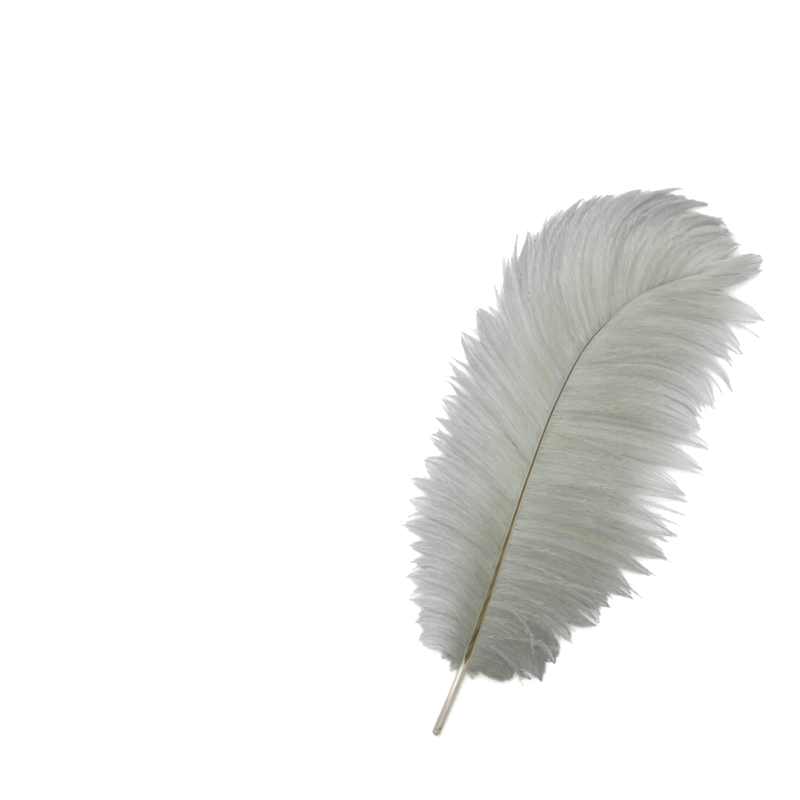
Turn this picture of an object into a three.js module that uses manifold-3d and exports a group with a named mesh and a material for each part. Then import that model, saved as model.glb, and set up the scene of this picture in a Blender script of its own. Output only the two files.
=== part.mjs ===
// A white ostrich wing plume, lying on a surface with the grooved face of its shaft up.
// Millimetres, +Z up. +Y runs from the quill's end towards the tip, and +X is to the right seen from above.
// The origin is the middle of the plume's outline, on the surface that it lies on.
// One grown piece: a tapering shaft, and two vanes of loose barbs as locks that reach the barbs' ends.

import * as THREE from "three";
import { mergeVertices } from "three/addons/utils/BufferGeometryUtils.js";
import Module from "manifold-3d";

// The shaft's middle line, measured from the quill's end, at even steps along it to the tip.
const QUILL_END = [35.5, -172.2];
const SHAFT_X = [0, -8.8, -19.9, -32.0, -43.7, -53.6, -57.7, -47.0, -23.2];
const SHAFT_Y = [0, 40.5, 80.5, 120.1, 159.9, 200.2, 241.3, 281.0, 314.9];
const SHAFT_Z = [2.2, 3.0, 5.4, 7.4, 8.6, 9.2, 9.0, 8.4, 7.5];

// The shaft's width at the same steps. It is a little deeper than it is wide.
const SHAFT_WIDTH = [4.9, 4.7, 3.9, 3.1, 2.5, 1.9, 1.4, 0.9, 0.5];
const SHAFT_DEPTH_TO_WIDTH = 1.05;
const GROOVE_DEPTH = 0.16; // of the width
const GROOVE_STARTS = 0.15; // along the shaft, where the bare quill ends
const SHAFT_STEPS = 36;
const SHAFT_SIDES = 12;

// The vanes begin here along the shaft. What comes first is given at even steps from here to the tip,
// and then there is one number for each lock, counted from the quill.
const VANE_STARTS = 0.133;
const RIGHT = {
  side: 1,
  length: [30, 68, 91, 97, 94, 72, 32],
  leaves: [75, 76, 82, 74, 55, 31, 4], // degrees between the shaft and a barb where it grows
  bends: [60, 56, 20, 16, 76, 30, -8], // degrees that a barb then turns back towards the quill
  bendsLate: [1.3, 1.2, 1.2, 1.4, 2.6, 2, 2], // the higher, the nearer to its end a barb bends
  // A lock's own length, to that of the vane there.
  reaches: [
    0.87, 1.12, 0.99, 0.93, 0.99, 0.94, 1.01, 1.03, 1.05, 1.01, 1.02, 0.96, 1.03, 1, 0.9, 0.92, 0.99,
    1.07, 0.96, 1.02, 1.09, 0.86, 0.88, 1, 1.01,
  ],
  // Degrees that a lock bends more than the vane there.
  turns: [
    -7, 6, 5, -6, -17, -12, -2, -3, -3, 3, -6, 10, 8, -3, -7, 2, 9, 5, -14, 7, -8, 0, -29, -17, 1,
  ],
  // Along a lock, where it begins to narrow to its point.
  narrows: [
    0.7, 0.7, 0.75, 0.75, 0.75, 0.8, 0.6, 0.6, 0.6, 0.42, 0.38, 0.4, 0.62, 0.75, 0.85, 0.85, 0.8,
    0.5, 0.65, 0.7, 0.6, 0.5, 0.62, 0.85, 0.85,
  ],
  seed: 1,
};
const LEFT = {
  side: -1,
  length: [30, 58, 71, 80, 99, 82, 30],
  leaves: [57, 61, 60, 54, 60, 56, 2],
  bends: [90, 55, 25, 4, -66, -104, -12],
  bendsLate: [1.6, 1.6, 1.6, 1.6, 1.6, 1.6, 1.6],
  reaches: [
    1.02, 1, 1.05, 1.03, 0.95, 0.97, 1.05, 1.02, 1.05, 0.95, 0.96, 0.95, 0.95, 0.97, 1, 1.01,
    0.97, 0.98, 1.01, 1, 1.02, 1.04, 1.02, 1.02, 1.02, 1.04, 1.05, 0.96, 0.87, 0.8, 0.57, 0.9,
  ],
  turns: [
    2, 4, -3, -4, -3, -1, 3, 1, 0, -2, -4, -3, 1, 4, 4, -4, 0, -7, -8, -10, -13, -14, -9, -3, -2,
    -6, -12, -10, 3, 15, 1, 4,
  ],
  narrows: [
    0.66, 0.78, 0.72, 0.65, 0.79, 0.77, 0.72, 0.72, 0.65, 0.69, 0.77, 0.7, 0.7, 0.74, 0.7, 0.74,
    0.74, 0.65, 0.66, 0.75, 0.69, 0.69, 0.8, 0.65, 0.79, 0.79, 0.86, 0.86, 0.75, 0.7, 0.62, 0.62,
  ],
  seed: 2,
};
const LOCKS_DIFFER = 0.6; // how far the bound between two locks may lie from its even place, in locks
const LOCK_SPREAD = 1.2; // a lock's width to the space between locks
const LOCK_THICKNESS = 3.4;
const TIP_THICKNESS = 1.0;
const SHINGLE = 1.6; // how far a lock's side towards the tip lies above its other side
const LOCK_STEPS = 7;
const ARCH = [4, 6.5]; // least and most that a lock rises between shaft and end
const END_HEIGHT = [-0.6, 3.2]; // least and most height of a lock's end, cut flat at the surface

const GRID = 0.01; // the solid's corners lie on this grid

const radians = THREE.MathUtils.degToRad;

// A repeatable number from 0 to 1 for a lock and a purpose.
function chance(index, purpose) {
  const x = Math.sin(index * 12.9898 + purpose * 78.233) * 43758.5453;
  return x - Math.floor(x);
}

function between([least, most], share) {
  return least + (most - least) * share;
}

// The value at t, from 0 to 1, of a smooth line through evenly spaced values.
function through(values, t) {
  const last = values.length - 1;
  const at = Math.min(Math.max(t, 0), 1) * last;
  const i = Math.min(Math.floor(at), last - 1);
  const f = at - i;
  const b = values[i];
  const c = values[i + 1];
  const a = i > 0 ? values[i - 1] : 2 * b - c;
  const d = i < last - 1 ? values[i + 2] : 2 * c - b;
  return (
    b +
    0.5 * f * (c - a + f * (2 * a - 5 * b + 4 * c - d + f * (3 * (b - c) + d - a)))
  );
}

function shaftPoint(u) {
  return new THREE.Vector3(
    QUILL_END[0] + through(SHAFT_X, u),
    QUILL_END[1] + through(SHAFT_Y, u),
    through(SHAFT_Z, u),
  );
}

// The shaft's heading in plan, as an angle from +X.
function shaftHeading(u) {
  const step = 0.002;
  const ahead = shaftPoint(Math.min(u + step, 1));
  const behind = shaftPoint(Math.max(u - step, 0));
  return Math.atan2(ahead.y - behind.y, ahead.x - behind.x);
}

// A closed surface through rings of equal length, with a pole at each end.
function loft(start, rings, end) {
  const size = rings[0].length;
  const places = [start, ...rings.flat(), end];
  const index = [];
  const at = (ring, k) => 1 + ring * size + (k % size);
  const last = rings.length - 1;
  for (let k = 0; k < size; k++) {
    index.push(0, at(0, k + 1), at(0, k));
    index.push(places.length - 1, at(last, k), at(last, k + 1));
    for (let r = 0; r < last; r++) {
      index.push(at(r, k), at(r, k + 1), at(r + 1, k));
      index.push(at(r + 1, k), at(r, k + 1), at(r + 1, k + 1));
    }
  }
  return new THREE.BufferGeometry().setFromPoints(places).setIndex(index);
}

// The shaft's section at u: an oval, with a groove along its top once the bare quill has ended.
function shaftRing(u, scale = 1) {
  const middle = shaftPoint(u);
  const heading = shaftHeading(u);
  const across = new THREE.Vector3(-Math.sin(heading), Math.cos(heading), 0);
  const half = (through(SHAFT_WIDTH, u) / 2) * scale;
  const groove =
    GROOVE_DEPTH * THREE.MathUtils.smoothstep(u, GROOVE_STARTS, GROOVE_STARTS + 0.04);
  return Array.from({ length: SHAFT_SIDES }, (_, k) => {
    const turn = (k / SHAFT_SIDES) * 2 * Math.PI;
    const up = Math.sin(turn);
    const dip = up > 0.99 ? groove * 2 * half : 0;
    return middle
      .clone()
      .addScaledVector(across, half * Math.cos(turn))
      .add(new THREE.Vector3(0, 0, half * SHAFT_DEPTH_TO_WIDTH * up - dip));
  });
}

function shaft() {
  const rings = [];
  rings.push(shaftRing(0.001, 0.6));
  for (let i = 0; i <= SHAFT_STEPS; i++) {
    const u = 0.005 + (0.99 * i) / SHAFT_STEPS;
    rings.push(shaftRing(u, i === 0 ? 0.9 : 1));
  }
  return loft(shaftPoint(0), rings, shaftPoint(1));
}

// A point of a vane: w runs along the shaft, from the vane's start to the tip, and v along a barb.
// The barb's heading turns with v, so its place is a sum of short steps.
function vanePoint(vane, index, w, v) {
  const u = VANE_STARTS + (1 - VANE_STARTS) * w;
  const seed = vane.seed * 100 + index;
  const length = through(vane.length, w) * vane.reaches[index];
  const leaves = radians(through(vane.leaves, w));
  const bends = radians(through(vane.bends, w) + vane.turns[index]);
  const late = through(vane.bendsLate, w);
  const heading = shaftHeading(u);
  const root = shaftPoint(u);
  const place = root.clone();
  const steps = 12;
  for (let k = 0; k < steps; k++) {
    const along = ((k + 0.5) / steps) * v;
    const turned = heading - vane.side * (leaves + bends * along ** late);
    place.x += (Math.cos(turned) * length * v) / steps;
    place.y += (Math.sin(turned) * length * v) / steps;
  }
  const ease = v * v * (3 - 2 * v);
  const arch = between(ARCH, chance(seed, 3));
  const end = between(END_HEIGHT, chance(seed, 4));
  place.z =
    root.z * (1 - ease) + end * ease + arch * Math.sin(Math.PI * v ** 0.85);
  return place;
}

// How wide a lock is at v, from 1 to 0 at its point.
function lockWidth(vane, index, v) {
  const from = vane.narrows[index];
  const t = THREE.MathUtils.clamp((v - from) / (1 - from), 0, 1);
  return 1 - t * t;
}

// Where a lock begins along its vane.
function lockStart(vane, index) {
  const locks = vane.reaches.length;
  const shifts = index > 0 && index < locks;
  const shift = shifts ? LOCKS_DIFFER * (chance(vane.seed * 100 + index, 5) - 0.5) : 0;
  return (index + shift) / locks;
}

// One lock: a flat, tilted section with thin sides, carried along the barbs from the shaft to a point.
function lock(vane, index) {
  const start = lockStart(vane, index);
  const step = lockStart(vane, index + 1) - start;
  const middle = start + step / 2;
  const rings = [];
  for (let k = 0; k < LOCK_STEPS; k++) {
    const v = 0.012 + 0.955 * (k / (LOCK_STEPS - 1)) ** 0.85;
    const width = lockWidth(vane, index, v);
    const half = (step / 2) * LOCK_SPREAD * width;
    const behind = vanePoint(vane, index, middle - half, v);
    const ahead = vanePoint(vane, index, Math.min(middle + half, 1), v);
    const centre = vanePoint(vane, index, middle, v);
    const ease = Math.min(1, v / 0.25);
    const rooted = through(SHAFT_WIDTH, VANE_STARTS + (1 - VANE_STARTS) * middle) * 0.6;
    const thick = THREE.MathUtils.lerp(
      rooted,
      THREE.MathUtils.lerp(LOCK_THICKNESS, TIP_THICKNESS, v),
      ease,
    );
    const tilt = SHINGLE * width * ease;
    const lift = (p, z) => new THREE.Vector3(p.x, p.y, p.z + z);
    const ring = [
      lift(behind, -tilt / 2 - thick * 0.12),
      lift(centre, -thick / 2),
      lift(ahead, tilt / 2 - thick * 0.12),
      lift(ahead, tilt / 2 + thick * 0.12),
      lift(centre, thick / 2),
      lift(behind, -tilt / 2 + thick * 0.12),
    ];
    rings.push(vane.side > 0 ? ring : ring.reverse());
  }
  return loft(
    vanePoint(vane, index, middle, 0),
    rings,
    vanePoint(vane, index, middle, 1),
  );
}

const wasm = await Module();
wasm.setup();

// A closed geometry as a solid that can be joined and cut.
function solid(geometry) {
  const merged = mergeVertices(geometry, 1e-3);
  return new wasm.Manifold(
    new wasm.Mesh({
      numProp: 3,
      vertProperties: new Float32Array(merged.attributes.position.array),
      triVerts: new Uint32Array(merged.index.array),
    }),
  );
}

// A solid as a geometry, its corners on a fine grid so that near ones fall together.
function geometryOf(body) {
  const mesh = body.getMesh();
  const places = mesh.vertProperties.map((p) => Math.round(p / GRID) * GRID);
  return new THREE.BufferGeometry()
    .setAttribute("position", new THREE.BufferAttribute(places, 3))
    .setIndex(new THREE.BufferAttribute(new Uint32Array(mesh.triVerts), 1));
}

const grown = [solid(shaft())];
for (const vane of [RIGHT, LEFT]) {
  for (let index = 0; index < vane.reaches.length; index++) {
    grown.push(solid(lock(vane, index)));
  }
}
let body = wasm.Manifold.union(grown).trimByPlane([0, 0, 1], 0);
body = solid(geometryOf(body.simplify(0.05)));
body = body.decompose().reduce((a, b) => (b.volume() > a.volume() ? b : a));

const feather = new THREE.Mesh(
  geometryOf(body),
  new THREE.MeshStandardMaterial({ color: 0xdedfd8, roughness: 0.85, metalness: 0 }),
);
feather.name = "feather";

const plume = new THREE.Group();
plume.add(feather);
export default plume;
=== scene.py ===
"""A white ostrich wing plume lying on a pale floor, seen from straight above.

The shaft and the locks follow the same lines as the solid part, and repeat its named values in millimetres.
On those lines this script grows the plume's own build: a grooved horn shaft, about 700 loose barbs that
gather in strands and pointed locks, lone tufts that stand out past the locks, the downy barbules along both
sides of each barb, and the short down at the foot of the vanes.
"""

import math

import bpy
import numpy as np
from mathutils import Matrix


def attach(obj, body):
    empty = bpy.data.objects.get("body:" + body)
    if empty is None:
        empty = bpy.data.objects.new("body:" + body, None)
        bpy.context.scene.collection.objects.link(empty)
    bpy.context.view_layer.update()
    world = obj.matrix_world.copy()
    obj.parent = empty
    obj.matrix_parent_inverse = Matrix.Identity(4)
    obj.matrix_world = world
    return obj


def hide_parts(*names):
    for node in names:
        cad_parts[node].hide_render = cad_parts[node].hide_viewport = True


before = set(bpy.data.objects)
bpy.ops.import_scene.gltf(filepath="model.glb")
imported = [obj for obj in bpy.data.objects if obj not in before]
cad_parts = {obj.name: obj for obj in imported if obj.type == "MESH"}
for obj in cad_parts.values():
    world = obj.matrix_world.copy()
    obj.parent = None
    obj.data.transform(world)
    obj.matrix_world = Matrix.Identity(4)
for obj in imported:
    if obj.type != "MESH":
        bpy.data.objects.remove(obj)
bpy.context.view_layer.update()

MM = 0.001
CHANCE = np.random.default_rng(11)

# The shaft, in millimetres, as in the solid part
QUILL_END = (35.5, -172.2)
SHAFT_X = (0, -8.8, -19.9, -32.0, -43.7, -53.6, -57.7, -47.0, -23.2)
SHAFT_Y = (0, 40.5, 80.5, 120.1, 159.9, 200.2, 241.3, 281.0, 314.9)
SHAFT_Z = (2.2, 3.0, 5.4, 7.4, 8.6, 9.2, 9.0, 8.4, 7.5)
SHAFT_WIDTH = (4.9, 4.7, 3.9, 3.1, 2.5, 1.9, 1.4, 0.9, 0.5)
SHAFT_DEPTH_TO_WIDTH = 1.05
VANE_STARTS = 0.133

# The shaft's finer form
SHAFT_LENGTH = 332.0
SHAFT_RINGS = 430
SHAFT_SIDES = 40
GROOVE_STARTS = 0.131  # along the shaft, as a point
GROOVE_SINKS = 0.40  # of half the shaft's width, as the next two are
RIDGES_RISE = 0.12
KNOTS_RISE = 0.012  # the faint rings on the bare quill
END_ROUNDING = 2.6
HALF_QUILL = 2.4
SPECKS = ((5.2, 0.9, 0.45), (4.0, -0.4, 0.35))  # on the quill: how far from its end, how far aside, how large
QUILL_GAP = 0.02  # the lowest that the quill lies

# The vanes, as in the solid part: first at even steps along the shaft, then one number for each lock
RIGHT = {
    "side": 1,
    "length": (30, 68, 91, 97, 94, 72, 32),
    "leaves": (75, 76, 82, 74, 55, 31, 4),
    "bends": (60, 56, 20, 16, 76, 30, -8),
    "bends_late": (1.3, 1.2, 1.2, 1.4, 2.6, 2, 2),
    "reaches": (
        *(0.87, 1.12, 0.99, 0.93, 0.99, 0.94, 1.01, 1.03, 1.05, 1.01, 1.02, 0.96, 1.03, 1, 0.9, 0.92),
        *(0.99, 1.07, 0.96, 1.02, 1.09, 0.86, 0.88, 1, 1.01),
    ),
    "turns": (-7, 6, 5, -6, -17, -12, -2, -3, -3, 3, -6, 10, 8, -3, -7, 2, 9, 5, -14, 7, -8, 0, -29, -17, 1),
    "narrows": (
        *(0.7, 0.7, 0.75, 0.75, 0.75, 0.8, 0.6, 0.6, 0.6, 0.42, 0.38, 0.4, 0.62, 0.75, 0.85, 0.85, 0.8),
        *(0.5, 0.65, 0.7, 0.6, 0.5, 0.62, 0.85, 0.85),
    ),
    "seed": 1,
}
LEFT = {
    "side": -1,
    "length": (30, 58, 71, 80, 99, 82, 30),
    "leaves": (57, 61, 60, 54, 60, 56, 2),
    "bends": (90, 55, 25, 4, -66, -104, -12),
    "bends_late": (1.6, 1.6, 1.6, 1.6, 1.6, 1.6, 1.6),
    "reaches": (
        *(1.02, 1, 1.05, 1.03, 0.95, 0.97, 1.05, 1.02, 1.05, 0.95, 0.96, 0.95, 0.95, 0.97, 1, 1.01),
        *(0.97, 0.98, 1.01, 1, 1.02, 1.04, 1.02, 1.02, 1.02, 1.04, 1.05, 0.96, 0.87, 0.8, 0.57, 0.9),
    ),
    "turns": (
        *(2, 4, -3, -4, -3, -1, 3, 1, 0, -2, -4, -3, 1, 4, 4, -4),
        *(0, -7, -8, -10, -13, -14, -9, -3, -2, -6, -12, -10, 3, 15, 1, 4),
    ),
    "narrows": (
        *(0.66, 0.78, 0.72, 0.65, 0.79, 0.77, 0.72, 0.72, 0.65, 0.69, 0.77, 0.7, 0.7, 0.74, 0.7, 0.74),
        *(0.74, 0.65, 0.66, 0.75, 0.69, 0.69, 0.8, 0.65, 0.79, 0.79, 0.86, 0.86, 0.75, 0.7, 0.62, 0.62),
    ),
    "seed": 2,
}
LOCKS_DIFFER = 0.6
LOCK_SPREAD = 1.2
SHINGLE = 1.6
ARCH = (4.0, 6.5)
END_HEIGHT = (-0.6, 3.2)

# The barbs and barbules
STRANDS = 176  # on each side of the shaft
BARBS_A_STRAND = 2
STRAY_SHARE = 0.12  # of the barbs, those that lie on top and cross the others
STRAYS_CROSS = 0.09  # by at most this share of the vane
PARTED_LOCKS = (9, 10, 11)  # the right vane's locks with long gaps beside them
BARB_STEPS = 16
BARB_RADIUS = 0.18
BARB_TAPER = 0.62  # how much of the radius is lost towards the end
BARBULES_A_STRETCH = 46000  # on each third of a vane
UNDER_SHARE = 0.36  # of the barbules, those that hang below the barbs and close the vane
UNDER_LEAVE = 56  # degrees from the barb
BARBULE_TURNS = 19  # degrees towards the barb's end, half way along
BARBULE_WIDTH = 0.15
SHORTEST_BARBULE = 0.8
LONGEST_BARBULE = 8.5
LONGEST_AT_END = 3.0  # beside the barb's end, so that none stands far out past it
BARB_LEAVES = 30  # degrees from a barb to its upper barbules, in the vanes
TUFT_LEAVES = 24
DOWN_LEAVES = 52
# Thin tufts that stand out past the right vane's locks: their place along it, their reach and their turn
LONE_TUFTS = (
    *((0.22, 0.87, -5), (0.25, 0.88, 0), (0.27, 1.05, 0), (0.305, 1.05, -1), (0.335, 1.07, 0)),
    *((0.36, 1.01, -1), (0.39, 1.01, -1), (0.405, 1.04, -2), (0.475, 1.03, -1), (0.565, 1.0, 1)),
    *((0.63, 0.94, 2), (0.67, 1.02, 1), (0.735, 1.01, -1), (0.795, 1.12, 1), (0.855, 0.86, -1)),
)
BARBS_A_TUFT = 3
TUFT_ARCH = 5.2
TUFT_END_HEIGHT = 1.8
TUFT_BARBULES = 8800
DOWN_BARBS = 90
DOWN_BARBULES = 9000
FLOOR_GAP = 0.12  # the lowest that a barb lies
BARBULE_GAP = FLOOR_GAP * 0.6  # the same for a barbule


# Lines and chances


def smooth(x):
    """0 up to 0, 1 from 1 on, and 3x² - 2x³ between."""
    x = np.clip(x, 0.0, 1.0)
    return x * x * (3 - 2 * x)


def rises(x, low, high):
    """0 up to low, 1 from high on, and smooth between."""
    return smooth((x - low) / (high - low))


def through(values, t):
    """The value at t, 0 to 1, of a smooth line through evenly spaced values."""
    v = np.asarray(values, float)
    last = len(v) - 1
    at = np.clip(t, 0, 1) * last
    i = np.minimum(np.floor(at).astype(int), last - 1)
    f = at - i
    ends = np.concatenate([[2 * v[0] - v[1]], v, [2 * v[-1] - v[-2]]])
    a, b, c, d = ends[i], ends[i + 1], ends[i + 2], ends[i + 3]
    return b + 0.5 * f * (c - a + f * (2 * a - 5 * b + 4 * c - d + f * (3 * (b - c) + d - a)))


def chance(index, purpose):
    """The solid part's own repeatable number from 0 to 1 for a lock and a purpose."""
    x = np.sin(index * 12.9898 + purpose * 78.233) * 43758.5453
    return x - np.floor(x)


def unit(vectors):
    return vectors / np.maximum(np.linalg.norm(vectors, axis=-1, keepdims=True), 1e-9)


def shaft_point(u):
    """The shaft's middle line: smooth lines through its even stations in X, Y and Z."""
    x = QUILL_END[0] + through(SHAFT_X, u)
    y = QUILL_END[1] + through(SHAFT_Y, u)
    return np.stack([x, y, through(SHAFT_Z, u)], axis=-1)


def shaft_heading(u):
    """The shaft's heading in plan, from +X, over a short step."""
    ahead = shaft_point(np.minimum(u + 0.002, 1))
    behind = shaft_point(np.maximum(u - 0.002, 0))
    step = ahead - behind
    return np.arctan2(step[..., 1], step[..., 0])


def lock_start(vane, index):
    """Where a lock begins along its vane: evenly, but each inner bound is shifted by a chance."""
    locks = len(vane["reaches"])
    inner = (index > 0) & (index < locks)
    return (index + LOCKS_DIFFER * (chance(vane["seed"] * 100 + index, 5) - 0.5) * inner) / locks


def lock_lay(vane, lock, inside, v):
    """How a lock's barbs lie: their reach, turn, arch and end height, at inside (-1 to 1) across the lock.

    A barb at the side of a lock takes half of its neighbour's numbers near the shaft, so the vane is one
    surface there. Further out its share of them falls to none, and the locks part.
    """
    locks = np.arange(len(vane["reaches"]))
    beside = np.clip(lock + np.sign(inside), 0, locks[-1]).astype(int)
    share = 0.5 * inside**2 * (1 - rises(v, 0.3, 0.7))
    arches = ARCH[0] + (ARCH[1] - ARCH[0]) * chance(vane["seed"] * 100 + locks, 3)
    ends = END_HEIGHT[0] + (END_HEIGHT[1] - END_HEIGHT[0]) * chance(vane["seed"] * 100 + locks, 4)
    kinds = (np.array(vane["reaches"]), np.array(vane["turns"]), arches, ends)
    return [numbers[lock] * (1 - share) + numbers[beside] * share for numbers in kinds]


def vane_point(vane, lay, w, v):
    """A point of a vane, at w along it and v along a barb that lies as lay says.

    The barb leaves the shaft at one angle and turns from there by bends * v^bends_late, so its place is the
    sum of short steps. Its height falls smoothly from the shaft to its end, over an arch of sin(pi v^0.85).
    """
    reach, turn, arch, end = lay
    u = VANE_STARTS + (1 - VANE_STARTS) * w
    length = through(vane["length"], w) * reach
    leaves = np.radians(through(vane["leaves"], w))
    bends = np.radians(through(vane["bends"], w) + turn)
    late = through(vane["bends_late"], w)
    heading = shaft_heading(u)
    place = shaft_point(u)
    steps = 12
    for k in range(steps):
        turned = heading - vane["side"] * (leaves + bends * ((k + 0.5) / steps * v) ** late)
        place[..., 0] += np.cos(turned) * length * v / steps
        place[..., 1] += np.sin(turned) * length * v / steps
    ease = v * v * (3 - 2 * v)
    place[..., 2] = place[..., 2] * (1 - ease) + end * ease + arch * np.sin(np.pi * v**0.85)
    return place


# Meshes


def walls(grid):
    """Triangles between the rings of a grid of point numbers, whose last two axes are ring and side.

    They face out where a ring runs anticlockwise for someone who looks along the line.
    """
    near, far = grid[..., :-1, :], grid[..., 1:, :]
    near_next, far_next = np.roll(near, -1, -1), np.roll(far, -1, -1)
    return np.stack([near, far_next, near_next, near, far, far_next], axis=-1).reshape(-1, 3)


def piece(name, places, triangles, marks, uv, finish):
    """One object from whole arrays: places in millimetres, triangles, marks for the finish, and a UV map."""
    mesh = bpy.data.meshes.new(name)
    mesh.vertices.add(len(places))
    mesh.vertices.foreach_set("co", np.ascontiguousarray(places * MM, np.float32).ravel())
    mesh.loops.add(triangles.size)
    mesh.loops.foreach_set("vertex_index", np.ascontiguousarray(triangles, np.int32).ravel())
    mesh.polygons.add(len(triangles))
    mesh.polygons.foreach_set("loop_start", np.arange(0, triangles.size, 3, dtype=np.int32))
    mesh.update(calc_edges=True)
    mesh.polygons.foreach_set("use_smooth", np.ones(len(triangles), bool))
    for mark, values in marks.items():
        layer = mesh.attributes.new(mark, "FLOAT", "POINT")
        layer.data.foreach_set("value", np.ascontiguousarray(values, np.float32))
    layer = mesh.uv_layers.new(name="OFBake")
    layer.uv.foreach_set("vector", np.ascontiguousarray(uv, np.float32).ravel())
    mesh.validate()
    mesh.materials.append(finish)
    made = bpy.data.objects.new(name, mesh)
    bpy.context.scene.collection.objects.link(made)
    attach(made, "root")
    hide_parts("feather")


# Finishes


class Number:
    """A shader socket that sums can be written with. Each operator adds one Math node."""

    def __init__(self, finish, socket):
        self.finish = finish
        self.socket = socket

    def maths(self, operation, first, second):
        return self.finish.node("ShaderNodeMath", {"operation": operation}, {0: first, 1: second})

    def __add__(self, other):
        return self.maths("ADD", self, other)

    def __mul__(self, other):
        return self.maths("MULTIPLY", self, other)

    def __sub__(self, other):
        return self.maths("SUBTRACT", self, other)

    def __rsub__(self, other):
        return self.maths("SUBTRACT", other, self)

    __radd__ = __add__
    __rmul__ = __mul__

    def rises(self, low, high):
        """0 below low, 1 above high, smooth between."""
        return self.finish.node(
            "ShaderNodeMapRange",
            {"interpolation_type": "SMOOTHSTEP"},
            {"Value": self, "From Min": low, "From Max": high},
        )


class Finish:
    """A node material that is written as expressions."""

    def __init__(self, name):
        self.material = bpy.data.materials.new(name)
        self.material.use_nodes = True
        self.tree = self.material.node_tree
        self.tree.nodes.clear()

    def node(self, kind, settings=None, sockets=None, output=0):
        """Any node: its settings first, then values or links for its sockets. Gives one output."""
        made = self.tree.nodes.new(kind)
        for key, value in (settings or {}).items():
            setattr(made, key, value)
        for key, value in (sockets or {}).items():
            if isinstance(value, Number):
                self.tree.links.new(value.socket, made.inputs[key])
            else:
                made.inputs[key].default_value = value
        return Number(self, made.outputs[output]) if len(made.outputs) else None

    def mark(self, name):
        """A number that the piece's mesh carries at each point."""
        return self.node("ShaderNodeAttribute", {"attribute_name": name}, output="Fac")

    def noise(self, scale, detail=2.0, stretch=(1, 1, 1)):
        """Noise over the object's own places, stretched by a factor along each axis."""
        places = self.node("ShaderNodeTexCoord", output="Object")
        spread = self.node("ShaderNodeMapping", {}, {"Vector": places, "Scale": stretch})
        sockets = {"Vector": spread, "Scale": scale, "Detail": detail}
        return self.node("ShaderNodeTexNoise", {}, sockets, "Fac")

    def mixed(self, share, first, second):
        """A colour between two, by share."""
        ends = [(*c, 1) if isinstance(c, tuple) else c for c in (first, second)]
        return self.node("ShaderNodeMix", {"data_type": "RGBA"}, {0: share, 6: ends[0], 7: ends[1]}, 2)

    def close(self, shader):
        """Puts the shader on the surface and gives the material."""
        self.node("ShaderNodeOutputMaterial", {}, {"Surface": shader})
        return self.material


def barb_finish():
    """Bleached down: a faint olive grey, with olive streaks where the mark "stain" is high.

    It is cooler and lighter where "cool" is high, and darker where "tone" is low. "tone" holds random
    differences together with painted shade and painted light: shade towards the quill, between strands and
    beneath the barbs, light on the strays, the barbs' crests and the tip. "cool" is also raised at the tip as
    painted light. "stain_and_painted_shade" holds real olive streaks, and beside the lower left shaft an
    olive that is partly painted shade.
    """
    f = Finish("bleached barbs")
    cool = f.mark("cool")
    near = f.mixed(f.mark("stain_and_painted_shade") * (1 - cool), (0.57, 0.59, 0.53), (0.53, 0.55, 0.44))
    colour = f.mixed(cool, near, (0.69, 0.685, 0.70))
    # Low tone darkens the colour, up to three quarters of the way to near black: here painted shade and
    # painted light land
    colour = f.mixed(f.mark("tone"), f.mixed(0.75, colour, (0.08, 0.083, 0.07)), colour)
    down = f.node(
        "ShaderNodeBsdfPrincipled",
        {},
        {"Base Color": colour, "Roughness": 0.75, "Specular IOR Level": 0.25},
    )
    glow = f.node("ShaderNodeBsdfTranslucent", {}, {"Color": (0.62, 0.64, 0.60, 1)})
    return f.close(f.node("ShaderNodeMixShader", {}, {0: 0.25, 1: down, 2: glow}))


def shaft_finish():
    """Horn: clear and pale on the bare quill, brown in the groove above it, with cream ridges beside.

    The groove is golden with dark lines at its foot, olive brown above, and fades into the down at the tip.
    Its browns are partly the horn's own and partly painted shade in the groove. The quill has a painted
    highlight down its left side, which the mark "light" places, a darker line beside its middle, which the
    mark "dark_line" places, and dark specks.
    """
    f = Finish("horn of the shaft")
    along = f.mark("along")
    groove = f.mark("groove")
    fibres = f.noise(60.0, 4.0, (9, 0.5, 9))
    lines = f.noise(160.0, 2.0, (6, 0.3, 6)).rises(0.35, 0.7)
    # The groove's browns: partly the horn's own, partly painted shade in the groove
    lower = f.mixed(lines, (0.062, 0.046, 0.013), (0.135, 0.100, 0.034))
    foot = f.mixed(lines, (0.034, 0.025, 0.006), (0.13, 0.10, 0.028))
    lower = f.mixed(along.rises(0.2, 0.3), foot, lower)
    upper = f.mixed(lines, (0.022, 0.020, 0.011), (0.05, 0.045, 0.024))
    brown = f.mixed(along.rises(0.42, 0.64), lower, upper)
    brown = f.mixed(along.rises(0.76, 0.87), brown, (0.36, 0.35, 0.28))
    cream = f.mixed(fibres, (0.27, 0.23, 0.14), (0.41, 0.36, 0.25))
    cream = f.mixed(along.rises(0.3, 0.5), cream, (0.46, 0.44, 0.34))
    pale = f.mixed(fibres.rises(0.3, 0.7), (0.31, 0.29, 0.225), (0.43, 0.405, 0.33))
    pale = f.mixed(f.mark("dark_line") * 0.7, pale, (0.20, 0.165, 0.10))
    # A painted highlight down the bare quill's left side, where the mark "light" is high
    pale = f.mixed(f.mark("light") * 0.85, pale, (0.80, 0.78, 0.70))
    quill = f.mixed((1 - along.rises(0.02, 0.1)) * 0.75, pale, (0.27, 0.25, 0.20))
    quill = f.mixed(f.mark("specks"), quill, (0.05, 0.038, 0.028))
    above_quill = along.rises(0.12, 0.15)
    colour = f.mixed(groove, f.mixed(above_quill, quill, cream), brown)
    horn = f.node(
        "ShaderNodeBsdfPrincipled",
        {},
        {
            "Base Color": colour,
            "Roughness": 0.24 + 0.35 * above_quill,
            "Coat Weight": 0.6 - 0.6 * above_quill,
            "Coat Roughness": 0.12,
            "Specular IOR Level": 0.4,
        },
    )
    return f.close(horn)


# The shaft


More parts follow.
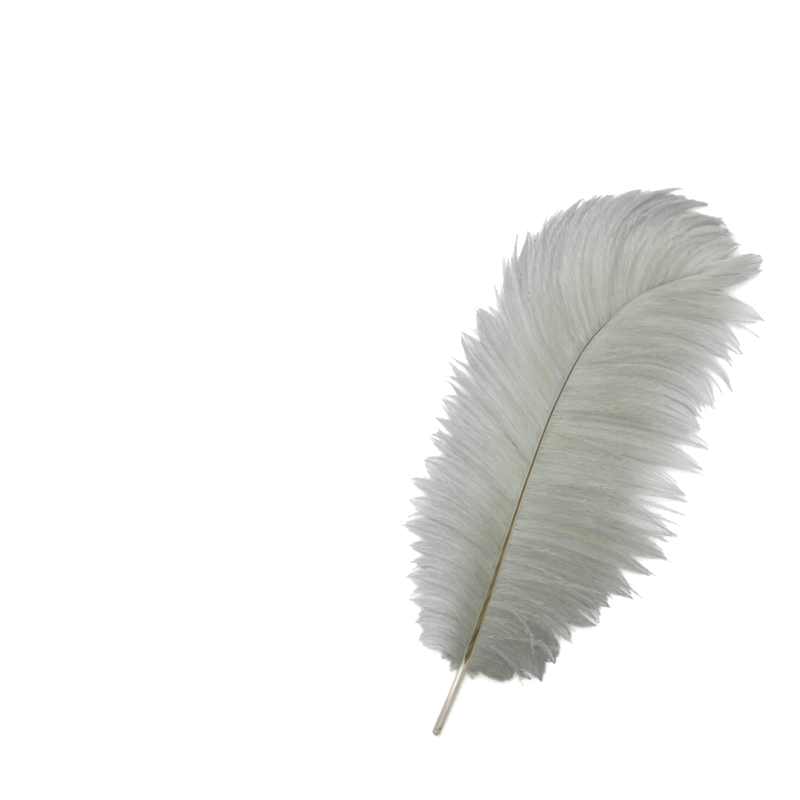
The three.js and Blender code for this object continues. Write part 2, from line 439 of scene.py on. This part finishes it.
def shaft(finish):
    """An oval section carried along the shaft's line.

    At angle a it is (cos a, depth sin a) times half the width, x being cos a. On the upper side, from the
    bare quill's end on, it sinks by a groove of exp(-(x / 0.72)^8), which starts as a point, and rises by a
    ridge of exp(-((|x| - 0.88) / 0.1)^2). The closed end is rounded as a quarter of an oval, and the bare
    quill swells and shrinks a little by a sine. Each speck is a bell, exp(-distance^2 / size).
    """
    rings, sides = SHAFT_RINGS, SHAFT_SIDES
    u = np.linspace(0, 1, rings)[:, None] ** 1.1
    a = (np.arange(sides) / sides * 2 * np.pi)[None, :]
    x = np.cos(a) + 0 * u
    top = smooth(np.sin(a) * 1.6)
    rounded = np.sqrt(1 - (1 - np.clip(u * SHAFT_LENGTH / END_ROUNDING, 0.005, 1)) ** 2)
    knots = KNOTS_RISE * np.sin(u * SHAFT_LENGTH * 0.9) * (1 - rises(u, 0.1, 0.15))
    half = through(SHAFT_WIDTH, u) / 2 * rounded * (1 + knots)
    opened = top * smooth((u - GROOVE_STARTS - 0.02 * np.abs(x)) / 0.01)
    sunk = GROOVE_SINKS * np.exp(-((x / 0.72) ** 8)) * opened
    ridge = RIDGES_RISE * np.exp(-(((np.abs(x) - 0.88) / 0.1) ** 2)) * opened
    middle = shaft_point(u)
    heading = shaft_heading(u)
    places = np.stack(
        [
            middle[..., 0] + np.sin(heading) * x * half,
            middle[..., 1] - np.cos(heading) * x * half,
            middle[..., 2] + (SHAFT_DEPTH_TO_WIDTH * np.sin(a) + ridge - sunk) * half,
        ],
        axis=-1,
    )
    places[..., 2] = np.maximum(places[..., 2], QUILL_GAP)
    from_end = u * SHAFT_LENGTH
    groove_width = 0.74 - 0.14 * rises(u, 0.22, 0.42)
    bare = top * rises(u, 0.05, 0.09) * (1 - rises(u, 0.128, 0.138))
    specks = 0 * x
    for far, aside, size in SPECKS:
        specks += np.exp(-((from_end - far) ** 2 + (x * HALF_QUILL - aside) ** 2) / size) * top
    grid = np.arange(rings * sides).reshape(rings, sides)
    quill_cap = np.stack([np.full(sides, grid.size), grid[0], np.roll(grid[0], -1)], axis=-1)
    tip_cap = np.stack([np.full(sides, grid.size + 1), np.roll(grid[-1], -1), grid[-1]], axis=-1)
    ends = np.array([places[0].mean(0), places[-1].mean(0)])
    piece(
        "shaft",
        np.concatenate([places.reshape(-1, 3), ends]),
        np.concatenate([walls(grid), quill_cap, tip_cap]),
        {
            "along": np.append(u + 0 * x, [0, 1]),
            "groove": np.append(np.exp(-((x / groove_width) ** 10)) * opened, [0, 0]),
            # A painted highlight: a band down the bare quill's left side
            "light": np.append(np.exp(-(((x + 0.42) / 0.2) ** 2)) * bare, [0, 0]),
            "dark_line": np.append(np.exp(-(((x - 0.12) / 0.2) ** 2)) * bare, [0, 0]),
            "specks": np.append(np.clip(specks, 0, 1), [0, 0]),
        },
        shaft_map(rings, sides),
        finish,
    )


def shaft_map(rings, sides):
    """The shaft unrolled, and cut into eight rows that lie above each other."""
    rows = 8
    at = np.arange(rings - 1)[:, None] / (rings - 1) * rows + np.zeros((1, sides))
    row = np.floor(at)
    near, far = at - row, at - row + rows / (rings - 1)
    low = row + np.arange(sides)[None, :] / sides * 0.94
    high = low + 0.94 / sides
    corners = [(near, low), (far, high), (near, high), (near, low), (far, low), (far, high)]
    uv = np.stack([np.stack([np.minimum(x, 1), y / rows], axis=-1) for x, y in corners], axis=2)
    return np.concatenate([uv.reshape(-1, 2), np.full((6 * sides, 2), 0.001)])


# The barbs


def barb_lines(vane):
    """The lines that the barbs of a vane follow, one row of points for each barb.

    A lock has strands in proportion to its width, and a strand has BARBS_A_STRAND barbs, which draw near its
    middle. The strands draw near the lock's point by 1 - t², with t from where the lock narrows, and outer
    strands end sooner, by |place|^1.4. Some barbs stray: they lie on top, and cross the others. The space to
    the next strand, which the barbules fill, is measured at each step, and is less in the parted locks.
    Barbs are looser, so more of them stray, at the foot of the right vane and in the upper half of the left.
    """
    locks = len(vane["reaches"])
    strands = np.maximum(np.round(np.diff(lock_start(vane, np.arange(locks + 1))) * STRANDS).astype(int), 2)
    lock = np.repeat(np.arange(locks), strands)
    nth = np.arange(len(lock)) - (np.cumsum(strands) - strands)[lock]
    strand = np.repeat(np.arange(len(lock)), BARBS_A_STRAND)
    count = len(strand)
    middle_of_strand = (((nth + 0.5) / strands[lock]) * 2 - 1)[strand][:, None]
    lock = lock[strand]
    ends_at, wanders, stands, shines = CHANCE.random((4, count // BARBS_A_STRAND))[:, strand]
    loose = np.where(lock < locks * 0.3, 1.0, 0.5) if vane["side"] > 0 else 0.7 + 0.5 * (lock > locks * 0.5)
    strays = CHANCE.random(count) < STRAY_SHARE * loose
    ends = 1.0 - 0.08 * np.abs(middle_of_strand[:, 0]) ** 1.4 - 0.03 * CHANCE.random(count)
    ends = np.where(strays, ends * CHANCE.uniform(0.75, 1.0, count), ends + 0.04 * (ends_at - 0.6))
    v = ends[:, None] * np.linspace(0.0, 1.0, BARB_STEPS)[None, :]
    nth_barb = (np.arange(count) % BARBS_A_STRAND + 0.5) / BARBS_A_STRAND * 2 - 1
    nth_barb = nth_barb + CHANCE.uniform(-0.4, 0.4, count)
    draws = 1 - 0.45 * rises(v, 0, 0.3) - 0.35 * rises(v, 0.45, 0.95)
    apart = (nth_barb / strands[lock])[:, None] * draws
    wanders = ((wanders - 0.5) * 2.2 / strands[lock])[:, None] * rises(v, 0.3, 1)
    inside = middle_of_strand + apart + wanders
    lock = lock[:, None] + np.zeros(v.shape, int)
    from_here = np.array(vane["narrows"])[lock]
    narrow = 1 - np.clip((v - from_here) / (1 - from_here), 0, 1) ** 2
    start, end = lock_start(vane, lock), lock_start(vane, lock + 1)
    wave = CHANCE.uniform(0, 2 * np.pi, count)[:, None] + v * CHANCE.uniform(6, 14, count)[:, None]
    cross = np.where(strays, CHANCE.uniform(-STRAYS_CROSS, STRAYS_CROSS, count), 0)[:, None] * v**1.5
    middle = (start + end) / 2
    half = (end - start) / 2 * LOCK_SPREAD * narrow
    w = np.clip(middle + inside * half + 0.0008 * rises(v, 0, 0.3) * np.sin(wave) + cross, 0, 1)
    lay = lock_lay(vane, lock, inside, v)
    astray = 3.0 * CHANCE.normal(0, 1, count // BARBS_A_STRAND)[strand] + 1.5 * CHANCE.normal(0, 1, count)
    astray = astray * (loose if vane["side"] < 0 else 0.35)
    lay[1] = lay[1] + astray[:, None]
    places = vane_point(vane, lay, w, v)
    reach = half / strands[lock[:, 0]][:, None]
    sides = [vane_point(vane, lay, np.clip(middle + s * reach, 0, 1), v)[..., :2] for s in (-1, 1)]
    closes = 1 - 0.5 * np.isin(lock, PARTED_LOCKS) * (vane["side"] > 0) * rises(v, 0.42, 0.62)
    height = ((stands - 0.5) * 0.6 + (CHANCE.random(count) - 0.5) * 0.4 + 1.3 * strays)[:, None]
    places[..., 2] += height * rises(v, 0, 0.25) + SHINGLE / 2 * inside * narrow * rises(v, 0.5, 0.9)
    places[..., 2] = np.maximum(places[..., 2], FLOOR_GAP)
    tone = 0.76 + 0.14 * (shines - 0.5) + 0.10 * (CHANCE.random(count) - 0.5)
    # Strays lie on top, so they are painted lighter: painted light that lifts them out of the painted shade
    # below
    tone = tone + (0.12 + 0.25 * loose) * strays
    # Broad soft patches of painted shade and light, as the vane's relief would cast, placed at random by a
    # net of chances
    painted_relief_shading = 0.16 * (net_of_chances(w, v, 34, 7) - 0.5) * rises(v, 0, 0.3)
    return {
        "places": places,
        "spacing": np.clip(np.linalg.norm(sides[1] - sides[0], axis=-1) * closes, 0.9, 6.0),
        # The vane's painted shade and painted light go into the tone here
        "tone": tone[:, None] + painted_vane_shade(vane, middle, v) + painted_relief_shading,
        "cool": vane_cool(vane, middle, v),
        "stain_and_painted_shade": np.clip(streaks(w, v) + olive_foot(vane, middle, v), 0, 1),
        "leave": np.full(count, BARB_LEAVES),
        "sparse": np.where(strays, 0.4, 1.0),
        "thins": 0.6 - 0.35 * (1 - rises(middle[:, 0], 0, 0.3)) * (vane["side"] > 0),
    }


def vane_cool(vane, w, v):
    """How cool and light the down is, from 0 to 1: a product of smooth ramps over w and v.

    It is 0 beside the shaft and rises towards the barbs' ends. It rises less at the vane's foot on the right,
    and past w = 0.82 at the tip.
    """
    if vane["side"] > 0:
        cool = rises(v, 0.52, 0.82) * (0.15 + 0.85 * rises(w, 0.22, 0.47))
    else:
        cool = 0.75 * rises(v, 0.12, 0.62) + 0.25 * rises(v, 0.5, 0.8) * (1 - rises(w, 0.2, 0.4))
    # Past w = 0.88 the down is made lighter again: painted light at the tip
    return cool * (1 - 0.6 * rises(w, 0.82, 0.9)) + 0.35 * rises(w, 0.88, 0.94)


def painted_vane_shade(vane, w, v):
    """How much the down's tone is raised: a sum of products of smooth ramps over w and v.

    It is painted shade and painted light. On the right painted shade deepens towards the quill, and painted
    light lifts the outer edge. On the left painted shade falls beside the lower shaft and painted light lifts
    it beside the upper, with the outer part painted a little darker. Both get painted light at the tip.
    """
    if vane["side"] > 0:
        raised = -0.57 * (1 - rises(w, 0, 0.45)) * (0.72 + 0.36 * rises(v, 0, 0.4))
        raised = raised + 0.22 * rises(v, 0.45, 0.85) * rises(w, 0.3, 0.5)
        raised = raised + 0.10 * rises(v, 0.2, 0.5) * rises(w, 0.66, 0.74)
    else:
        raised = -0.38 * (1 - rises(w, 0, 0.4)) * (1 - 1.3 * rises(v, 0.1, 0.7))
        raised = raised + 0.24 * rises(w, 0.25, 0.45) * (1 - rises(v, 0, 0.65))
        raised = raised - 0.10 * rises(w, 0.5, 0.7) * rises(v, 0.4, 0.8)
        raised = raised - 0.16 * rises(w, 0.72, 0.8) * rises(v, 0.3, 0.6)
        raised = raised - 0.06 * (1 - rises(w, 0.3, 0.5)) * rises(v, 0.4, 0.6)
    return raised + 0.06 * rises(w, 0.7, 0.8) + 0.35 * rises(w, 0.88, 0.94)


def net_of_chances(w, v, along, out):
    """Smooth noise over a vane: a net of chances, with along meshes on w and out meshes on v, from 0 to 1."""
    net = CHANCE.random((along + 1, out + 1))
    x, y = np.clip(w, 0, 1) * (along - 0.001), np.clip(v, 0, 1) * (out - 0.001)
    i, j = x.astype(int), y.astype(int)
    f, g = smooth(x - i), smooth(y - j)
    low = net[i, j] * (1 - f) + net[i + 1, j] * f
    high = net[i, j + 1] * (1 - f) + net[i + 1, j + 1] * f
    return low * (1 - g) + high * g


def streaks(w, v):
    """Faint olive streaks along the barbs, where a fine net of chances is over 0.6. They fade outwards."""
    fades = (1 - 0.8 * rises(v, 0.6, 0.9)) * (1 - 0.5 * rises(w, 0.66, 0.74))
    return rises(net_of_chances(w, v, 75, 6), 0.6, 0.85) * fades


def olive_foot(vane, w, v):
    """The olive shade beside the lower shaft, on the left: a product of ramps that fall over w and v."""
    # The olive here is partly the down's own and partly painted shade beside the lower shaft
    return 0.7 * (1 - rises(w, 0.1, 0.45)) * (1 - rises(v, 0.1, 0.45)) * (vane["side"] < 0)


def tuft_lines():
    """Three barbs for each lone tuft, which lie side by side and draw to one point by 1 - v²."""
    tufts = np.repeat(np.array(LONE_TUFTS, float), BARBS_A_TUFT, axis=0)[:, :, None]
    nth = (np.arange(len(tufts)) % BARBS_A_TUFT - 1)[:, None]
    v = np.linspace(0, 1, BARB_STEPS)[None, :] * (1 - 0.05 * np.abs(nth))
    w = tufts[:, 0] + 0.005 * nth * (1 - v * v)
    places = vane_point(RIGHT, (tufts[:, 1], tufts[:, 2], TUFT_ARCH, TUFT_END_HEIGHT), w, v)
    places[..., 2] += 0.5 * rises(v, 0, 0.25)
    return {
        "places": places,
        "spacing": 1.9 + 0 * v,
        # The right vane's painted shade and painted light
        "tone": 0.72 + painted_vane_shade(RIGHT, w, v),
        "cool": vane_cool(RIGHT, w, v),
        "stain_and_painted_shade": 0 * v,
        "leave": np.full(len(tufts), TUFT_LEAVES),
        "sparse": np.ones(len(tufts)),
        "thins": np.full(len(tufts), 0.7),
    }


def down_lines():
    """Short barbs about the foot of the vanes, which leave the shaft sideways or backwards.

    Each turns evenly by its curl, so its place is the sum of equal steps whose heading changes by as much.
    """
    count = DOWN_BARBS
    u = CHANCE.uniform(0.126, 0.168, count)
    side = np.where(CHANCE.random(count) < 0.5, -1.0, 1.0)
    v = np.linspace(0, 1, BARB_STEPS)[None, :] + np.zeros((count, 1))
    length = CHANCE.uniform(7, 16, count)[:, None] * (0.5 + 0.5 * rises(u, 0.122, 0.142))[:, None]
    leaves = shaft_heading(u) - side * np.radians(CHANCE.uniform(45, 100, count))
    curls = side * np.radians(CHANCE.uniform(-30, 80, count))
    turned = leaves[:, None] - curls[:, None] * v
    run = np.stack([np.cos(turned), np.sin(turned)], axis=-1) * (length / (BARB_STEPS - 1))[..., None]
    root = shaft_point(u)[:, None, :]
    places = root + np.zeros((1, BARB_STEPS, 1))
    places[:, 1:, :2] += np.cumsum(run[:, :-1], axis=1)
    ends = CHANCE.uniform(0.6, 5.0, count)[:, None]
    places[..., 2] = root[..., 2] * (1 - smooth(v)) + ends * smooth(v) + 1.2 * np.sin(np.pi * v)
    return {
        "places": places,
        "spacing": 2.6 + 0 * v,
        "tone": 0.35 + 0.3 * CHANCE.random((count, 1)) + 0 * v,
        "cool": 0.12 + 0 * v,
        "stain_and_painted_shade": 0.25 + 0 * v,
        "leave": np.full(count, DOWN_LEAVES),
        "sparse": np.ones(count),
        "thins": np.full(count, 0.55),
    }


def tubes(places, radius):
    """Three-sided tubes along many lines at once, closed at both ends.

    Each corner is the line's point and (cos a) side + (sin a) up, times the radius there.
    """
    count, steps = places.shape[:2]
    ahead = unit(np.gradient(places, axis=1))
    side = unit(np.cross(ahead, np.array([0.0, 0.0, 1.0])))
    up = np.cross(side, ahead)
    turns = np.radians([90, 210, 330])[None, None, :, None]
    corners = np.cos(turns) * side[:, :, None] + np.sin(turns) * up[:, :, None]
    rings = places[:, :, None] + corners * radius[..., None, None]
    grid = np.arange(count * steps * 3).reshape(count, steps, 3)
    return rings.reshape(-1, 3), np.concatenate([walls(grid), grid[:, 0], grid[:, -1, ::-1]])


def barbules(lines, count):
    """Two-part tapering strips along both sides of each barb, each with three triangles.

    Their roots are spread evenly along the barbs. The upper ones leave the barb at the lines' own angle,
    turn towards its end half way and roll outwards, so a strand is round. The under ones leave more widely
    and hang, and close the vane. Both reach aside in proportion to the space between strands, and less
    beside the barb's end. Their tips are painted darker than their roots, as painted shade in the grooves
    between strands, and the under ones are painted darker still, as painted shade beneath the barbs.
    """
    places = lines["places"]
    rows, steps = places.shape[:2]
    space = (lines["spacing"][:, 1:] + lines["spacing"][:, :-1]) / 2
    weight = np.linalg.norm(np.diff(places, axis=1), axis=-1) * np.sqrt(space) * lines["sparse"][:, None]
    reached = np.append(0, np.cumsum(weight))
    spot = (np.arange(count) + CHANCE.random(count)) / count * reached[-1]
    segment = np.clip(np.searchsorted(reached, spot, side="right") - 1, 0, weight.size - 1)
    f = (spot - reached[segment]) / weight.ravel()[segment]
    barb, i = np.divmod(segment, steps - 1)

    def at(values):
        g = f.reshape(-1, *[1] * (values.ndim - 2))
        return values[barb, i] * (1 - g) + values[barb, i + 1] * g

    t = (i + f) / (steps - 1)
    root = at(places)
    ahead = unit(at(unit(np.gradient(places, axis=1))))
    right = unit(np.cross(ahead, np.array([0.0, 0.0, 1.0])))
    up = np.cross(right, ahead)
    side = np.where(CHANCE.random(count) < 0.5, -1.0, 1.0)
    out = right * side[:, None]
    under = CHANCE.random(count) < UNDER_SHARE
    leave = np.radians(np.where(under, UNDER_LEAVE, lines["leave"][barb]) + CHANCE.normal(0, 7, count))
    turn = leave - np.radians(CHANCE.normal(BARBULE_TURNS, 6, count))
    aside = at(lines["spacing"]) * np.where(under, 1.05, 0.76) * CHANCE.uniform(0.6, 1.35, count)
    aside = aside * (0.55 + 0.45 * rises(t, 0, 0.1)) * (1 - lines["thins"][barb] * rises(t, 0.6, 1))
    longest = LONGEST_BARBULE - (LONGEST_BARBULE - LONGEST_AT_END) * rises(t, 0.75, 1)
    reach = np.clip(aside / np.sin((leave + turn) / 2), SHORTEST_BARBULE, longest)[:, None]
    lift = np.where(under, -0.26, 0.02) + CHANCE.normal(0, 0.07, count)
    fall = np.where(under, -0.34, -0.20) + CHANCE.normal(0, 0.09, count)
    first = unit(ahead * np.cos(leave)[:, None] + out * np.sin(leave)[:, None] + up * lift[:, None])
    second = unit(ahead * np.cos(turn)[:, None] + out * np.sin(turn)[:, None] + up * fall[:, None])
    middle = root + first * reach * 0.5
    tip = middle + second * reach * 0.5
    roll = (side * 0.34 + CHANCE.normal(0, 0.2, count))[:, None]
    across = unit(np.cross(up, first)) * np.cos(roll) + up * np.sin(roll)
    half = BARBULE_WIDTH / 2 * np.where(under, 1.4, 1.0) * CHANCE.uniform(0.75, 1.25, count)
    across = across * half[:, None]
    thinner = across * 0.85
    strip = np.stack([root - across, root + across, middle - thinner, middle + thinner, tip], axis=1)
    strip[..., 2] = np.maximum(strip[..., 2], BARBULE_GAP)
    pattern = np.array([[0, 2, 1], [1, 2, 3], [2, 4, 3]])
    triangles = (np.arange(count)[:, None, None] * 5 + pattern[None]).reshape(-1, 3)
    outwards = np.array([0, 0, 0.5, 0.5, 1.0])[None, :]
    lean = np.array([-1, 1, -1, 1, 0])[None, :] * 0.0006
    beside = (barb[:, None] + 0.5 + 0.46 * outwards * side[:, None]) / rows
    uv = np.stack([np.clip(t[:, None] + lean, 0, 1), beside], axis=-1)
    # The under barbules are painted darker: painted shade beneath the barbs
    tone = at(lines["tone"]) - 0.14 * under + CHANCE.normal(0, 0.05, count)
    marks = {
        "cool": np.repeat(at(lines["cool"]), 5),
        "stain_and_painted_shade": np.repeat(at(lines["stain_and_painted_shade"]), 5),
        # Roots painted lighter, tips darker: painted shade in the grooves between strands
        "tone": (tone[:, None] + 0.08 - 0.18 * outwards).ravel(),
    }
    return strip.reshape(-1, 3), triangles, uv.reshape(-1, 2), marks


def barb_piece(name, lines, barbule_count, finish):
    """Barbs as thin tubes, and their barbules, in one mesh, with each barb on its own row of the UV map."""
    places = lines["places"]
    rows, steps = places.shape[:2]
    t = np.linspace(0, 1, steps)[None, :] + np.zeros((rows, 1))
    tube, tube_faces = tubes(places, BARB_RADIUS * (1 - BARB_TAPER * t))
    around = np.arange(3)[None, None, :] / 3 + 0 * t[..., None]
    beside = (np.arange(rows)[:, None, None] + 0.35 + 0.3 * around) / rows
    tube_uv = np.stack([t[..., None] + 0 * around, beside], axis=-1)
    strip, strip_faces, strip_uv, marks = barbules(lines, barbule_count)
    triangles = np.concatenate([tube_faces, strip_faces + len(tube)])
    # The barbs are painted lighter than their barbules: painted light along the crest of each strand
    tube_marks = {"cool": lines["cool"], "stain_and_painted_shade": lines["stain_and_painted_shade"], "tone": lines["tone"] + 0.16}
    piece(
        name,
        np.concatenate([tube, strip]),
        triangles,
        {
            mark: np.clip(np.concatenate([np.repeat(values.ravel(), 3), marks[mark]]), 0, 1)
            for mark, values in tube_marks.items()
        },
        np.concatenate([tube_uv.reshape(-1, 2), strip_uv])[triangles.ravel()],
        finish,
    )


# The plume: its shaft, three stretches of each vane, which have as much barb each, and its loose ends

barbs = barb_finish()
shaft(shaft_finish())
for side_name, vane in (("right", RIGHT), ("left", LEFT)):
    lines = barb_lines(vane)
    grown = np.linalg.norm(np.diff(lines["places"], axis=1), axis=-1).sum(1)
    share = np.cumsum(grown) / grown.sum()
    for part, (low, high) in {"lower": (0, 1 / 3), "middle": (1 / 3, 2 / 3), "upper": (2 / 3, 2)}.items():
        rows = (share > low) & (share <= high)
        stretch = {mark: values[rows] for mark, values in lines.items()}
        barb_piece(f"{side_name}_vane_{part}", stretch, BARBULES_A_STRETCH, barbs)
barb_piece("lone_tufts", tuft_lines(), TUFT_BARBULES, barbs)
barb_piece("down_at_the_foot", down_lines(), DOWN_BARBULES, barbs)

# The floor, the lights and the camera

LEAN = math.radians(34.9)  # how far the plume leans to the right in the picture
MIDDLE = (-0.0930, -0.0235)  # where the middle of the picture falls
PICTURE_WIDTH = 0.464  # what the picture takes in, at the height of the shaft
SHAFT_HEIGHT = 0.008

floor_finish = Finish("pale floor")
floor_tint = floor_finish.mixed(floor_finish.noise(3.0) * 0.2, (0.93, 0.93, 0.93), (0.90, 0.90, 0.90))
floor_face = floor_finish.node("ShaderNodeBsdfPrincipled", {}, {"Base Color": floor_tint, "Roughness": 0.9})
floor_mesh = bpy.data.meshes.new("floor")
floor_mesh.from_pydata([(-3, -3, 0), (3, -3, 0), (3, 3, 0), (-3, 3, 0)], [], [(0, 1, 2, 3)])
floor_mesh.materials.append(floor_finish.close(floor_face))
floor = bpy.data.objects.new("floor", floor_mesh)
bpy.context.scene.collection.objects.link(floor)


def soft_light(name, place, aim, size, power):
    """A square area light at place that faces aim."""
    data = bpy.data.lights.new(name, "AREA")
    data.shape = "SQUARE"
    data.size = size
    data.energy = power
    made = bpy.data.objects.new(name, data)
    bpy.context.scene.collection.objects.link(made)
    away = np.array(place) - np.array(aim)
    away = away / np.linalg.norm(away)
    made.location = place
    made.rotation_euler = (math.acos(away[2]), 0, math.atan2(away[1], away[0]) + math.pi / 2)


soft_light("key", (-1.0, 0.45, 1.2), (0, 0, 0), 1.2, 18)
soft_light("top", (0.0, -0.1, 1.9), (0, 0, 0), 1.6, 18)

world = bpy.data.worlds.new("studio")
world.use_nodes = True
world.node_tree.nodes["Background"].inputs["Color"].default_value = (1, 1, 1, 1)
world.node_tree.nodes["Background"].inputs["Strength"].default_value = 0.6
bpy.context.scene.world = world
bpy.context.scene.view_settings.view_transform = "Standard"

lens = bpy.data.cameras.new("camera")
lens.lens = 100
lens.sensor_width = 36
camera = bpy.data.objects.new("camera", lens)
bpy.context.scene.collection.objects.link(camera)
camera.location = (*MIDDLE, PICTURE_WIDTH * lens.lens / lens.sensor_width + SHAFT_HEIGHT)
camera.rotation_euler = (0, 0, LEAN)
bpy.context.scene.camera = camera
